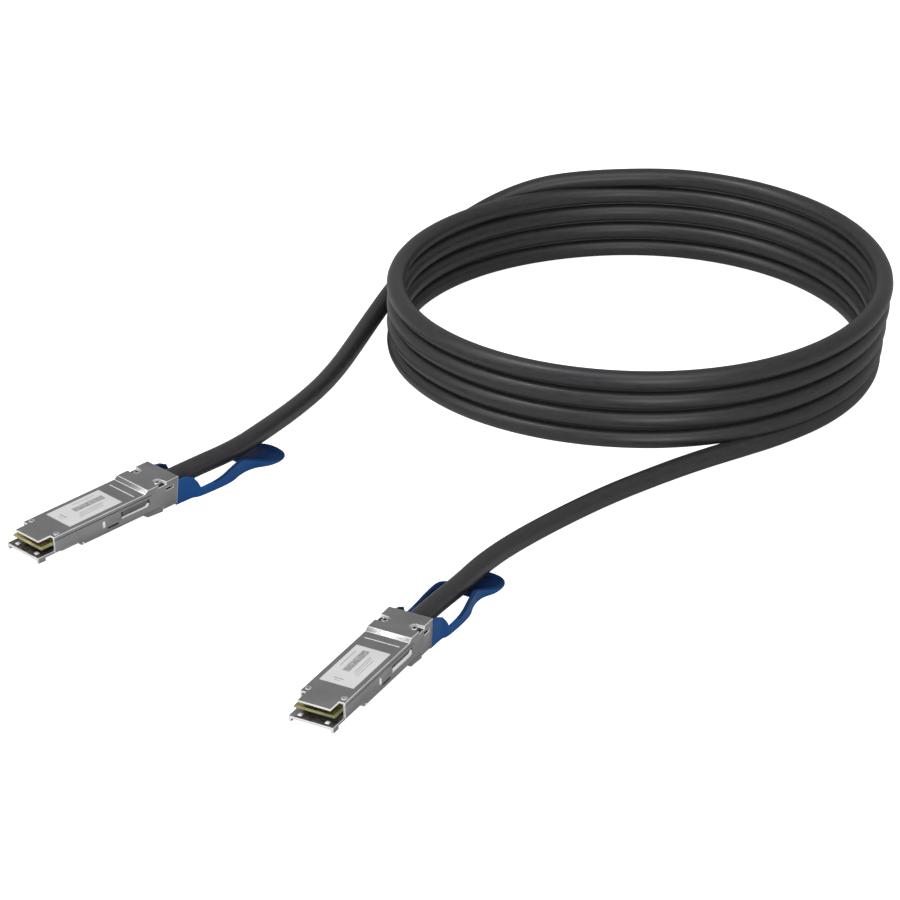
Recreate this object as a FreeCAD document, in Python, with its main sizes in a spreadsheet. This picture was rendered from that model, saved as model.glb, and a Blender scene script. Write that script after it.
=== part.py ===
"""Passive four-lane direct attach copper cable, lying coiled on a surface.

Two alike plugs, called a and b, end one round cord.  Each plug is modelled in its own frame: X
across, Y from the nose back towards the cord, Z up from the underside of its body, with the nose
tip at Y = 0.  A plug lies on the two feet under its nose and on the flange under its head, so it
is tipped a little, nose down, and then turned and moved to its place on the surface.

The row's frame has Z = 0 on the surface, +Y along plug b from its nose to its cord, and its
origin under the middle of the box round both plugs.
"""

import FreeCAD, Part
import math
import os
import re

import Sketcher

# Driving dimensions in millimetres and degrees
SIZES = {
    # body of a plug
    "body_width": 18.35,
    "body_height": 8.6,
    "front_wall": 0.9,
    "rear_wall": 2.2,
    "top_plate": 0.8,
    "base_plate": 1.1,
    "end_wall": 1.5,
    "shell_gap": 0.05,
    # nose: lip and feet of the lower shell, tongue of the upper shell
    "lip_top": 3.0,
    "wall_front": 8.3,
    "foot_bottom": 0.6,
    "foot_width": 1.1,
    "foot_length": 3.7,
    "tongue_front": 2.5,
    "tongue_inset": 2.375,
    "step_front": 19.1,
    # head, with the flange under it
    "head_front": 53.3,
    "head_length": 17.1,
    "bevel_length": 1.6,
    "head_wall": 0.65,
    "head_floor": 0.55,
    "flange_lead": 1.1,
    "flange_length": 9.4,
    "flange_drop": 2.2,
    "flange_flare": 0.1,
    "head_lean": 1.5,
    # paddle card and what is on it
    "card_side_gap": 0.075,
    "card_thick": 1.0,
    "card_drop": 3.0,
    "card_front": 2.3,
    "card_setback": 15.0,
    "finger_pitch": 0.8,
    "finger_width": 0.54,
    "finger_length": 5.5,
    "finger_thick": 0.05,
    "chip_width": 3.0,
    "chip_length": 4.4,
    "chip_height": 1.0,
    # cord and its end in the plug
    "cord_diameter": 7.8,
    "cord_drop": 0.15,
    "cable_end_length": 12.4,
    "ring_wall": 0.7,
    "gasket_wall": 1.1,
    "gasket_length": 1.8,
    "pair_width": 1.5,
    "pair_height": 1.2,
    # release
    "arm_thick": 0.5,
    "arm_low": 3.6,
    "arm_height": 2.4,
    "arm_lead": 10.9,
    "arm_inset": 0.65,
    "pocket_lead": 12.3,
    "pocket_tail": 2.0,
    "travel": 2.8,
    "run_gap": 0.15,
    "spring_diameter": 1.6,
    "spring_wire": 0.3,
    "spring_length": 9.0,
    "spring_gap": 0.175,
    "tab_thick": 1.5,
    "tab_inset": 0.3,
    "tab_length": 58.6,
    "tab_plate": 1.2,
    "tab_clear": 0.15,
    # small parts on the shell
    "rivet_inset": 1.815,
    "rivet_setback": 2.65,
    "rivet_radius": 1.25,
    "screw_inset": 0.875,
    "screw_setback": 8.2,
    "screw_radius": 1.3,
    "screw_shank": 0.6,
    "seat_depth": 1.1,
    "label_inset": 2.125,
    "label_front": 17.8,
    "label_setback": 9.6,
    "label_thick": 0.08,
    # places on the surface
    "plug_b_x": 79.7,
    "plug_b_y": -89.9,
    "plug_a_x": -80.8,
    "plug_a_y": -34.8,
    "plug_a_turn": -16.11,
    # coil
    "coil_x": 38.8,
    "coil_y": 241.3,
    "coil_radius": 101.5,
    "coil_height": 41.5,
    "coil_spare": 0.9,
}

# Sizes that follow from the driving ones
HALF = "(body_width / 2)"
FRONT_INNER = "(body_width / 2 - front_wall)"
REAR_INNER = "(body_width / 2 - rear_wall)"
CEILING = "(body_height - top_plate)"
LIP_UNDER = "(lip_top - base_plate)"
STEP_REAR = "(step_front + lip_top - base_plate)"
PLUG_LENGTH = "(head_front + head_length)"
END_FRONT = f"({PLUG_LENGTH} - end_wall)"
CORD_RADIUS = "(cord_diameter / 2)"
CORD_MIDDLE = "(body_height / 2 - cord_drop)"
HEAD_TOP = f"({CORD_MIDDLE} + {CORD_RADIUS} + gasket_wall + head_wall)"
HEAD_LOW = f"({CORD_MIDDLE} - {CORD_RADIUS} - gasket_wall - head_floor)"
FLANGE_FRONT = "(head_front - flange_lead)"
FLANGE_REAR = f"({FLANGE_FRONT} + flange_length)"
CARD_HALF = f"({FRONT_INNER} - card_side_gap)"
CARD_LOW = "(body_height - card_drop - card_thick / 2)"
CARD_HIGH = "(body_height - card_drop + card_thick / 2)"
CARD_REAR = "(head_front - card_setback)"
CHIP_PLACE = f"(card_front + ({CARD_REAR} - card_front) * 5 / 9)"
CAPACITOR_PLACE = f"(card_front + ({CARD_REAR} - card_front) * 13 / 36)"
CAVITY_STEP = f"({CARD_REAR} + 1.2)"
CABLE_FRONT = f"({PLUG_LENGTH} - cable_end_length)"
CHAMBER = (f"{CABLE_FRONT} - 0.3", END_FRONT)
CHAMBER_RADIUS = f"{CORD_RADIUS} + gasket_wall + shell_gap"
ARM_OUTER = f"({HALF} - arm_inset)"
ARM_INNER = f"({HALF} - arm_inset - arm_thick)"
ARM_TOP = "(arm_low + arm_height)"
ARM_FRONT = "(head_front - arm_lead)"
POCKET_FRONT = "(head_front - pocket_lead)"
POCKET_REAR = "(head_front + pocket_tail)"
SPRING_X = f"({REAR_INNER} - spring_diameter / 2 - spring_gap)"
SPRING_INNER = f"({SPRING_X} - spring_diameter / 2)"
SPRING_FRONT = f"({ARM_FRONT} + 1)"
SPRING_REAR = f"({ARM_FRONT} + 1 + spring_length)"
SPRING_MIDDLE = "(arm_low + 0.75)"
COMB_HALF = f"({SPRING_INNER} - 0.3)"
PAIR_PITCH = f"(({COMB_HALF} - 0.25 - pair_width / 2) / 1.5)"
TONGUE_HALF = f"({HALF} - tongue_inset)"
RIVET_X = f"({HALF} - rivet_inset)"
RIVET_Y = "(wall_front + rivet_setback)"
SCREW_X = f"({REAR_INNER} - screw_inset)"
SCREW_Y = f"({PLUG_LENGTH} - screw_setback)"
SEAT_RADIUS = "(screw_radius + 0.65)"
TAB_OUTER = f"({HALF} - tab_inset)"
TAB_INNER = f"({HALF} - tab_inset - tab_thick)"
TAB_FRONT = f"({PLUG_LENGTH} + run_gap)"
TAB_REAR = f"({PLUG_LENGTH} + tab_length)"


def floor_at(station):
    """The height of the surface in the tipped plug's frame, at a station along the plug."""
    return f"(foot_bottom - (foot_bottom + flange_drop) / {FLANGE_REAR} * ({station}))"


doc = FreeCAD.newDocument("DirectAttachCable")
sheet = doc.addObject("Spreadsheet::Sheet", "Sizes")
for row, (alias, value) in enumerate(SIZES.items(), start=1):
    sheet.set(f"A{row}", alias)
    sheet.set(f"B{row}", str(value))
    sheet.setAlias(f"B{row}", alias)
worked = doc.addObject("Spreadsheet::Sheet", "Worked")
doc.recompute()


def size(alias):
    """The number that the sheet holds under an alias."""
    return float(sheet.get(alias))


def formula(words):
    """A formula on the sheet's aliases, as FreeCAD writes it."""
    return re.sub(r"\b([a-z]\w*)\b(?!\()", r"Sizes.\1", words)


def value(words):
    """The value of a formula on the sheet's aliases, worked out in a cell of its own."""
    worked.set("A1", "=" + formula(words))
    worked.recompute()
    return float(worked.get("A1"))


def bind(piece, **formulas):
    """Tie properties of an object to formulas on the sheet."""
    for name, words in formulas.items():
        piece.setExpression(name.replace("__", "."), formula(words))


def place(piece, x, y, z):
    """Tie an object's place to formulas on the sheet."""
    bind(piece, Placement__Base__x=x, Placement__Base__y=y, Placement__Base__z=z)


def box(x, y, z):
    """A box between pairs of formulas."""
    piece = doc.addObject("Part::Box", "box")
    bind(
        piece,
        Length=f"({x[1]}) - ({x[0]})",
        Width=f"({y[1]}) - ({y[0]})",
        Height=f"({z[1]}) - ({z[0]})",
    )
    place(piece, x[0], y[0], z[0])
    return piece


def middle_box(half_width, y, z):
    """A box that is centred across the plug."""
    return box((f"-({half_width})", half_width), y, z)


def side_boxes(x, y, z):
    """The same box at both sides of the plug, for x measured outwards."""
    return [box(x, y, z), box((f"-({x[1]})", f"-({x[0]})"), y, z)]


def upright(x, y, z, radius):
    """A cylinder along Z between two heights."""
    piece = doc.addObject("Part::Cylinder", "upright")
    bind(piece, Radius=radius, Height=f"({z[1]}) - ({z[0]})")
    place(piece, x, y, z[0])
    return piece


def lengthwise(y, radius, x="0", z=CORD_MIDDLE):
    """A cylinder along Y between two stations."""
    piece = doc.addObject("Part::Cylinder", "lengthwise")
    piece.Placement.Rotation = FreeCAD.Rotation(FreeCAD.Vector(1, 0, 0), -90)
    bind(piece, Radius=radius, Height=f"({y[1]}) - ({y[0]})")
    place(piece, x, y[0], z)
    return piece


def fuse(*pieces):
    """One object of several."""
    joined = doc.addObject("Part::MultiFuse", "fuse")
    joined.Shapes = list(pieces)
    joined.Refine = True
    return joined


def cut(base, *tools):
    """An object with others taken out of it."""
    left = doc.addObject("Part::Cut", "cut")
    left.Base = base
    left.Tool = tools[0] if len(tools) == 1 else fuse(*tools)
    left.Refine = True
    return left


def holder(solid):
    """An object that holds one plain solid, so that it can be placed as a whole."""
    held = doc.addObject("Part::Compound", "holder")
    held.Links = [solid]
    return held


def profile(outline, half_width):
    """A body of one closed side outline of (y, z) formulas, padded to both sides."""
    body = doc.addObject("PartDesign::Body", "profile")
    sketch = body.newObject("Sketcher::SketchObject", "outline")
    plane = [flat for flat in body.Origin.OriginFeatures if flat.Role == "YZ_Plane"][0]
    sketch.AttachmentSupport = [(plane, "")]
    sketch.MapMode = "FlatFace"
    corners = [(value(y), value(z)) for y, z in outline]
    count = len(corners)
    for index, corner in enumerate(corners):
        following = corners[(index + 1) % count]
        sketch.addGeometry(
            Part.LineSegment(FreeCAD.Vector(*corner, 0), FreeCAD.Vector(*following, 0)), False
        )
    for index in range(count):
        sketch.addConstraint(
            Sketcher.Constraint("Coincident", index, 2, (index + 1) % count, 1)
        )
    for index, corner in enumerate(corners):
        for axis, letter in enumerate("yz"):
            direction = ("DistanceX", "DistanceY")[axis]
            number = sketch.addConstraint(
                Sketcher.Constraint(direction, -1, 1, index, 1, corner[axis])
            )
            name = f"{letter}{index}"
            sketch.renameConstraint(number, name)
            sketch.setExpression(f"Constraints.{name}", formula(outline[index][axis]))
    pad = body.newObject("PartDesign::Pad", "pad")
    pad.Profile = sketch
    pad.SideType = "Symmetric"
    bind(pad, Length=f"2 * ({half_width})")
    doc.recompute()
    return body


# Pieces of a plug, each in the plug's own frame


def leaning_end():
    """The wedge behind the head, whose rear face leans with its bottom edge forwards."""
    return profile(
        [
            (PLUG_LENGTH, HEAD_TOP),
            (f"{PLUG_LENGTH} - head_lean", HEAD_LOW),
            (f"{PLUG_LENGTH} - head_lean", f"{HEAD_LOW} - 1"),
            (f"{PLUG_LENGTH} + 1", f"{HEAD_LOW} - 1"),
            (f"{PLUG_LENGTH} + 1", HEAD_TOP),
        ],
        f"{HALF} + 1",
    )


def upper_shell():
    """The cover: top plate with the tongue, both side walls and the head."""
    block = profile(
        [
            ("wall_front", LIP_UNDER),
            ("step_front", LIP_UNDER),
            (STEP_REAR, "0"),
            (FLANGE_REAR, "0"),
            (FLANGE_REAR, HEAD_LOW),
            (PLUG_LENGTH, HEAD_LOW),
            (PLUG_LENGTH, HEAD_TOP),
            ("head_front + bevel_length", HEAD_TOP),
            ("head_front", "body_height"),
            ("wall_front", "body_height"),
        ],
        HALF,
    )
    tongue = middle_box(
        TONGUE_HALF, ("tongue_front", "wall_front + 1"), (CEILING, "body_height")
    )
    below = f"{HEAD_LOW} - 1"
    inside = [
        middle_box(FRONT_INNER, ("wall_front - 1", CAVITY_STEP), (below, CEILING)),
        middle_box(REAR_INNER, (f"{CAVITY_STEP} - 1", END_FRONT), (below, CEILING)),
        middle_box(REAR_INNER, (f"{END_FRONT} - 1", f"{PLUG_LENGTH} + 1"), (below, CORD_MIDDLE)),
        lengthwise((f"{END_FRONT} - 1", f"{PLUG_LENGTH} + 1"), f"{CORD_RADIUS} + shell_gap"),
        lengthwise(CHAMBER, CHAMBER_RADIUS),
    ]
    # pocket that shows in the side, and the hidden channel behind it for the release arm
    pocket = side_boxes(
        (f"{ARM_INNER} - shell_gap", f"{HALF} + 1"),
        (POCKET_FRONT, POCKET_REAR),
        ("arm_low - 0.5", f"{ARM_TOP} + shell_gap"),
    )
    channel = side_boxes(
        (f"{ARM_INNER} - shell_gap", f"{ARM_OUTER} + shell_gap"),
        (f"{POCKET_REAR} - 1", f"{PLUG_LENGTH} + 1"),
        ("arm_low - shell_gap", f"{ARM_TOP} + shell_gap"),
    )
    finger_slot = side_boxes(
        (f"{REAR_INNER} - 1", f"{ARM_INNER}"),
        (f"{ARM_FRONT} - run_gap", f"{ARM_FRONT} + 1 + travel + run_gap"),
        ("arm_low - shell_gap", "arm_low + 1.5 + shell_gap"),
    )
    keeper_slots = side_boxes(
        (f"{HALF} - 0.75", f"{HALF} + 1"),
        (f"{POCKET_FRONT} - 6.9", f"{POCKET_FRONT} - 1.5"),
        ("arm_low - 1.95", "arm_low - 1.3"),
    )
    seams = side_boxes(
        (f"{HALF} - 0.12", f"{HALF} + 1"),
        ("wall_front - 1", "head_front + 3.2"),
        ("body_height - 1.6", "body_height - 1.3"),
    )
    head_slots = side_boxes(
        (f"{HALF} - 1.5", f"{HALF} + 1"),
        (f"{PLUG_LENGTH} - 6.6", f"{PLUG_LENGTH} - 3"),
        ("body_height - 2.4", "body_height - 1.3"),
    )
    line = middle_box(
        f"{TONGUE_HALF} + 0.5",
        ("head_front - 4.1", "head_front - 3.7"),
        ("body_height - 0.2", "body_height + 1"),
    )
    rivet_holes = [
        upright(x, RIVET_Y, (f"{CEILING} - 1", "body_height + 1"), "rivet_radius * 0.6")
        for x in (RIVET_X, f"-{RIVET_X}")
    ]
    # each screw sits in a round seat that is open to the side of the head
    seat = (f"{HEAD_TOP} - seat_depth", f"{HEAD_TOP} + 1")
    screw_seats = [
        upright(x, SCREW_Y, seat, SEAT_RADIUS) for x in (SCREW_X, f"-{SCREW_X}")
    ] + side_boxes(
        (SCREW_X, f"{HALF} + 1"), (f"{SCREW_Y} - {SEAT_RADIUS}", f"{SCREW_Y} + {SEAT_RADIUS}"), seat
    )
    screw_holes = [
        upright(x, SCREW_Y, (f"{CEILING} - 1", HEAD_TOP), "screw_shank + shell_gap")
        for x in (SCREW_X, f"-{SCREW_X}")
    ]
    spring_stops = side_boxes(
        (f"{SPRING_INNER} - 0.2", f"{REAR_INNER} + 0.5"),
        (SPRING_REAR, f"{SPRING_REAR} + 1"),
        ("arm_low - 0.3", f"{CEILING} + 0.3"),
    )
    detents = side_boxes(
        (f"{HALF} - 0.3", f"{HALF} + 0.35"),
        (f"{POCKET_FRONT} - 8.9", f"{POCKET_FRONT} - 8.1"),
        ("arm_low - 0.6", "arm_low + 1.7"),
    )
    hollow = cut(
        fuse(block, tongue),
        *inside,
        *pocket,
        *channel,
        *finger_slot,
        *keeper_slots,
        *seams,
        *head_slots,
        line,
        *rivet_holes,
        *screw_seats,
        *screw_holes,
    )
    return cut(fuse(hollow, *spring_stops, *detents), leaning_end())


def lower_shell():
    """The base: nose lip with its feet, floor, flange under the head and the rear cradle."""
    front_half = f"{FRONT_INNER} - shell_gap"
    rear_half = f"{REAR_INNER} - shell_gap"
    lip = middle_box(HALF, ("0", "wall_front - shell_gap"), (LIP_UNDER, "lip_top"))
    floor = profile(
        [
            ("wall_front - 1", LIP_UNDER),
            ("step_front", LIP_UNDER),
            (STEP_REAR, "0"),
            (f"{CAVITY_STEP} - shell_gap", "0"),
            (f"{CAVITY_STEP} - shell_gap", "base_plate"),
            (f"{STEP_REAR} + 0.4", "base_plate"),
            ("step_front + 0.4", "lip_top"),
            ("wall_front - 1", "lip_top"),
        ],
        front_half,
    )
    feet = side_boxes(
        (f"{HALF} - foot_width", HALF), ("0", "foot_length"), ("foot_bottom", f"{LIP_UNDER} + 0.3")
    )
    studs = side_boxes(
        (f"{TONGUE_HALF} - 1.9", f"{TONGUE_HALF} - 0.5"),
        ("1.6", "3"),
        ("lip_top - 0.3", "lip_top + 0.4"),
    )
    ledges = side_boxes(
        (f"{CARD_HALF} - 1.5", f"{CARD_HALF} - 0.3"),
        ("wall_front + 3.7", f"{CARD_REAR} - 1.3"),
        ("base_plate - 0.5", CARD_LOW),
    )
    rear_floor = middle_box(
        rear_half, (f"{CAVITY_STEP} - shell_gap - 0.5", FLANGE_REAR), ("0", "base_plate")
    )
    flange = profile(
        [
            (FLANGE_FRONT, "0"),
            (FLANGE_FRONT, "-0.2 * flange_drop"),
            (f"{FLANGE_FRONT} + 1.7", "-0.76 * flange_drop"),
            (FLANGE_REAR, "-flange_drop"),
            (FLANGE_REAR, "0"),
        ],
        f"{HALF} + flange_flare",
    )
    head_floor = middle_box(
        rear_half, (f"{FLANGE_REAR} - 0.5", PLUG_LENGTH), (HEAD_LOW, "0")
    )
    join = middle_box(
        rear_half, (f"{FLANGE_REAR} - 1", FLANGE_REAR), ("-0.9 * flange_drop", "base_plate")
    )
    rear_wall = middle_box(
        rear_half, (END_FRONT, PLUG_LENGTH), (HEAD_LOW, f"{CORD_MIDDLE} - shell_gap")
    )
    posts = side_boxes(
        (f"{SCREW_X} - 0.85", rear_half),
        (f"{SCREW_Y} - 1.2", f"{SCREW_Y} + 1.2"),
        ("-0.3", f"{CEILING} - shell_gap"),
    )
    cord_hole = lengthwise((f"{END_FRONT} - 1", f"{PLUG_LENGTH} + 1"), f"{CORD_RADIUS} + shell_gap")
    chamber = lengthwise(CHAMBER, CHAMBER_RADIUS)
    screw_bores = [
        upright(x, SCREW_Y, ("0.6", f"{CEILING} + 1"), "screw_shank + 0.02")
        for x in (SCREW_X, f"-{SCREW_X}")
    ]
    whole = fuse(
        lip, floor, *feet, *studs, *ledges, rear_floor, flange, head_floor, join, rear_wall, *posts
    )
    return cut(whole, cord_hole, chamber, *screw_bores, leaning_end())


def paddle_card():
    """The circuit board, with its front edge bevelled on both faces."""
    return profile(
        [
            ("card_front", "body_height - card_drop - card_thick * 0.2"),
            ("card_front + 0.6", CARD_LOW),
            (CARD_REAR, CARD_LOW),
            (CARD_REAR, CARD_HIGH),
            ("card_front + 0.6", CARD_HIGH),
            ("card_front", "body_height - card_drop + card_thick * 0.2"),
        ],
        CARD_HALF,
    )


def solids(shapes):
    """An object that holds a group of separate solids."""
    group = doc.addObject("Part::Feature", "group")
    group.Shape = Part.makeCompound(shapes)
    return group


def contact_fingers():
    """Gold pads on each face of the card, behind its bevel, as many as its width takes."""
    per_side = int(2 * value(CARD_HALF) / size("finger_pitch")) - 1
    pads = []
    for index in range(per_side):
        x = (index - (per_side - 1) / 2) * size("finger_pitch") - size("finger_width") / 2
        for z in (value(CARD_HIGH), value(CARD_LOW) - size("finger_thick")):
            corner = FreeCAD.Vector(x, size("card_front") + 0.8, z)
            pads.append(
                Part.makeBox(
                    size("finger_width"), size("finger_length"), size("finger_thick"), corner
                )
            )
    return solids(pads)


def memory_chip():
    """The small memory chip on top of the card."""
    chip = middle_box(
        "chip_width / 2",
        (CHIP_PLACE, f"{CHIP_PLACE} + chip_length"),
        (CARD_HIGH, f"{CARD_HIGH} + chip_height"),
    )
    return holder(chip)


def coupling_capacitors():
    """Eight small capacitors in a row across the card."""
    long, wide, high, pitch = 1.0, 0.5, 0.5, 1.6
    count = int(2 * value(CARD_HALF) / pitch) - 2
    chips = []
    for index in range(count):
        x = (index - (count - 1) / 2) * pitch - wide / 2
        corner = FreeCAD.Vector(x, value(CAPACITOR_PLACE), value(CARD_HIGH))
        chips.append(Part.makeBox(wide, long, high, corner))
    return solids(chips)


def pair_places():
    """Where each flat wire pair lies on the card and where it enters the cord: (x, z) twice."""
    half_high = size("pair_height") / 2
    upper = (value(CARD_HIGH) + half_high, value(CORD_MIDDLE) + half_high)
    lower = (value(CARD_LOW) - half_high, value(CORD_MIDDLE) - half_high)
    places = []
    for column in (-1.5, -0.5, 0.5, 1.5):
        for card_z, cord_z in (upper, lower):
            start = (column * value(PAIR_PITCH), card_z)
            end = (column * size("pair_width"), cord_z)
            places.append((start, end))
    return places


def pair_block(start, end, spare=0.0):
    """One flat pair: along the card's face, then slanting in to the cable end."""
    half_wide = size("pair_width") / 2 + spare
    half_high = size("pair_height") / 2 + spare
    stations = (
        (value(CARD_REAR) - 4.5, start),
        (value(CARD_REAR) + 1.0, start),
        (value(CABLE_FRONT), end),
    )
    sections = []
    for y, (x, z) in stations:
        corners = [
            FreeCAD.Vector(x + across * half_wide, y, z + up * half_high)
            for across, up in ((-1, -1), (1, -1), (1, 1), (-1, 1))
        ]
        sections.append(Part.makePolygon(corners + corners[:1]))
    return Part.makeLoft(sections, True, True)


def twinax_pairs():
    """Eight flat shielded pairs, four above the card and four below it."""
    return solids([pair_block(start, end) for start, end in pair_places()])


def wire_comb():
    """The block behind the card that holds the pairs apart."""
    block = middle_box(
        COMB_HALF, (f"{CARD_REAR} + 2", f"{CARD_REAR} + 5"), ("base_plate", f"{CEILING} - shell_gap")
    )
    ways = solids([pair_block(start, end, spare=0.03) for start, end in pair_places()])
    return cut(block, ways)


def cable_end():
    """The cord's jacket and core inside the head."""
    return holder(lengthwise((CABLE_FRONT, PLUG_LENGTH), CORD_RADIUS))


def crimp_ring():
    """The metal ring crimped on the cable end."""
    stations = (f"{CABLE_FRONT} + 1.2", f"{END_FRONT} - gasket_length - 1.9")
    wide = (CABLE_FRONT, END_FRONT)
    return cut(
        lengthwise(stations, f"{CORD_RADIUS} + ring_wall"),
        lengthwise(wide, f"{CORD_RADIUS} - shell_gap"),
    )


def cable_gasket():
    """The conductive collar between the crimp ring and the end wall."""
    stations = (f"{END_FRONT} - gasket_length", END_FRONT)
    wide = (f"{END_FRONT} - gasket_length - 1", f"{END_FRONT} + 1")
    return cut(
        lengthwise(stations, f"{CORD_RADIUS} + gasket_wall"),
        lengthwise(wide, f"{CORD_RADIUS} - shell_gap"),
    )


def front_rivets():
    """Two ring-headed rivets at the cover's front corners."""
    rivets = []
    for x in (RIVET_X, f"-{RIVET_X}"):
        shank = upright(x, RIVET_Y, (CEILING, "body_height + 0.1"), "rivet_radius * 0.6")
        head = upright(x, RIVET_Y, ("body_height", "body_height + 0.15"), "rivet_radius")
        dimple = upright(
            x, RIVET_Y, ("body_height - 0.1", "body_height + 1"), "rivet_radius * 0.45"
        )
        rivets.append(cut(fuse(shank, head), dimple))
    return fuse(*rivets)


def head_screws():
    """Two small screws that hold the cover's head to the base's posts."""
    screws = []
    for x in (SCREW_X, f"-{SCREW_X}"):
        seat = f"{HEAD_TOP} - seat_depth"
        shank = upright(x, SCREW_Y, ("1", f"{seat} + 0.1"), "screw_shank")
        head = upright(x, SCREW_Y, (seat, f"{seat} + 0.7"), "screw_radius")
        drive = upright(x, SCREW_Y, (f"{seat} + 0.3", HEAD_TOP), "screw_radius * 0.4")
        screws.append(cut(fuse(shank, head), drive))
    return fuse(*screws)


def label():
    """The sticker on top of the cover."""
    sticker = middle_box(
        f"{HALF} - label_inset",
        ("label_front", "head_front - label_setback"),
        ("body_height", "body_height + label_thick"),
    )
    return holder(sticker)


def release_slider():
    """The sheet-metal arms in the side pockets, each with an inward finger for its spring."""
    arms = side_boxes(
        (ARM_INNER, ARM_OUTER), (ARM_FRONT, f"{TAB_FRONT} + 4"), ("arm_low", ARM_TOP)
    )
    fingers = side_boxes(
        (SPRING_INNER, f"{ARM_INNER} + 0.2"),
        (ARM_FRONT, f"{ARM_FRONT} + 1"),
        ("arm_low", "arm_low + 1.5"),
    )
    return fuse(*arms, *fingers)


def pull_tab():
    """The moulded loop: two humped side plates, slender arms and a round-ended grip."""
    station = [f"{TAB_FRONT} + {setback}" for setback in (0, 7.6, 8.4, 33, 39, 46)]
    low = [f"{floor_at(y)} + tab_clear" for y in station]
    side = profile(
        [
            (f"{station[0]} - head_lean", f"{HEAD_LOW} + 0.1"),
            (station[1], f"{HEAD_LOW} - 0.4"),
            (station[2], low[2]),
            (station[5], low[5]),
            (station[5], f"{low[5]} + tab_plate + 0.8"),
            (station[4], f"{low[4]} + tab_plate + 3.2"),
            (station[3], f"{low[3]} + tab_plate + 4.8"),
            (f"{TAB_FRONT} + 28.5", "arm_low - 2.3"),
            (f"{TAB_FRONT} + 18.5", "arm_low - 3.3"),
            (f"{TAB_FRONT} + 10.5", "arm_low - 3.3"),
            (f"{TAB_FRONT} + 9.3", "arm_low - 0.5"),
            (f"{TAB_FRONT} + 7.3", "body_height - 3"),
            (f"{TAB_FRONT} + 4.7", "body_height - 1.4"),
            (f"{TAB_FRONT} + 2", "body_height - 1.1"),
            (f"{station[0]} - head_lean * 0.21", "body_height - 1.2"),
        ],
        TAB_OUTER,
    )
    lowest, highest = f"{floor_at(TAB_REAR)} - 1", "body_height"
    start = f"{PLUG_LENGTH} - head_lean"
    between = middle_box(TAB_INNER, (start, f"{station[5]} + 1"), (lowest, highest))
    sides = cut(side, between)
    slab = profile(
        [
            (station[4], low[4]),
            (TAB_REAR, f"{floor_at(TAB_REAR)} + tab_clear"),
            (TAB_REAR, f"{floor_at(TAB_REAR)} + tab_clear + tab_plate"),
            (station[4], f"{low[4]} + tab_plate"),
        ],
        TAB_OUTER,
    )
    outline = fuse(
        middle_box(TAB_OUTER, (start, f"{TAB_REAR} - {TAB_OUTER}"), (lowest, highest)),
        upright("0", f"{TAB_REAR} - {TAB_OUTER}", (lowest, highest), TAB_OUTER),
    )
    grip = doc.addObject("Part::Common", "grip")
    grip.Base = fuse(sides, slab)
    grip.Tool = outline
    arm_ways = side_boxes(
        (ARM_INNER, ARM_OUTER), (start, f"{TAB_FRONT} + 4"), ("arm_low", ARM_TOP)
    )
    return cut(grip, *arm_ways)


def return_springs():
    """The two springs that push the release forwards."""
    wire = size("spring_wire")
    coil_radius = (size("spring_diameter") - wire) / 2
    length = size("spring_length") - wire
    turns = 8
    springs = []
    for x in (value(SPRING_X), -value(SPRING_X)):
        helix = Part.makeHelix(length / turns, length, coil_radius)
        start = FreeCAD.Vector(coil_radius, 0, 0)
        slope = FreeCAD.Vector(0, 1, length / turns / (2 * math.pi * coil_radius))
        section = Part.Wire([Part.Circle(start, slope, wire / 2).toShape()])
        spring = Part.Wire(helix.Edges).makePipeShell([section], True, True)
        spring.rotate(FreeCAD.Vector(0, 0, 0), FreeCAD.Vector(1, 0, 0), -90)
        spring.translate(FreeCAD.Vector(x, value(SPRING_FRONT) + wire / 2, value(SPRING_MIDDLE)))
        springs.append(spring)
    return solids(springs)


PLUG_PIECES = (
    upper_shell,
    lower_shell,
    paddle_card,
    contact_fingers,
    memory_chip,
    coupling_capacitors,
    twinax_pairs,
    wire_comb,
    cable_end,
    crimp_ring,
    cable_gasket,
    front_rivets,
    head_screws,
    label,
    release_slider,
    pull_tab,
    return_springs,
)


def plug_placement(x, y, turn):
    """A plug's place: resting on its nose feet and its flange, then turned and moved."""
    rise = size("foot_bottom") + size("flange_drop")
    tip = math.degrees(math.atan2(rise, value(FLANGE_REAR)))
    base = FreeCAD.Vector(x, y, -size("foot_bottom") * math.cos(math.radians(tip)))
    return FreeCAD.Placement(base, FreeCAD.Rotation(turn, 0, tip))


# The cord

# Straight length of cord behind each plug, and then the points that its route turns at, chosen
# by hand, from the plug to the coil
LEAD = 14
TAIL_A_ROUTE = [
    (-53.0, 67.6, 8.1),
    (-52.8, 88.9, 7.2),
    (-53.2, 113.3, 5.0),
    (-55.3, 138.3, 3.9),
    (-59.0, 160.3, 3.9),
    (-64.4, 183.3, 4.4),
    (-69.2, 206.3, 6.2),
    (-72.6, 229.3, 9.6),
    (-72.4, 253.3, 15.5),
    (-67.0, 278.3, 23.5),
    (-54.0, 300.3, 31.0),
    (-36.4, 315.4, 35.6),
]
TAIL_B_ROUTE = [
    (78.6, 14.3, 7.1),
    (77.4, 36.3, 6.1),
    (78.9, 58.3, 4.5),
    (83.5, 84.3, 3.9),
    (90.9, 111.8, 3.9),
    (100.2, 136.8, 3.9),
    (109.0, 157.1, 3.9),
    (118.2, 174.8, 3.9),
]


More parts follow.
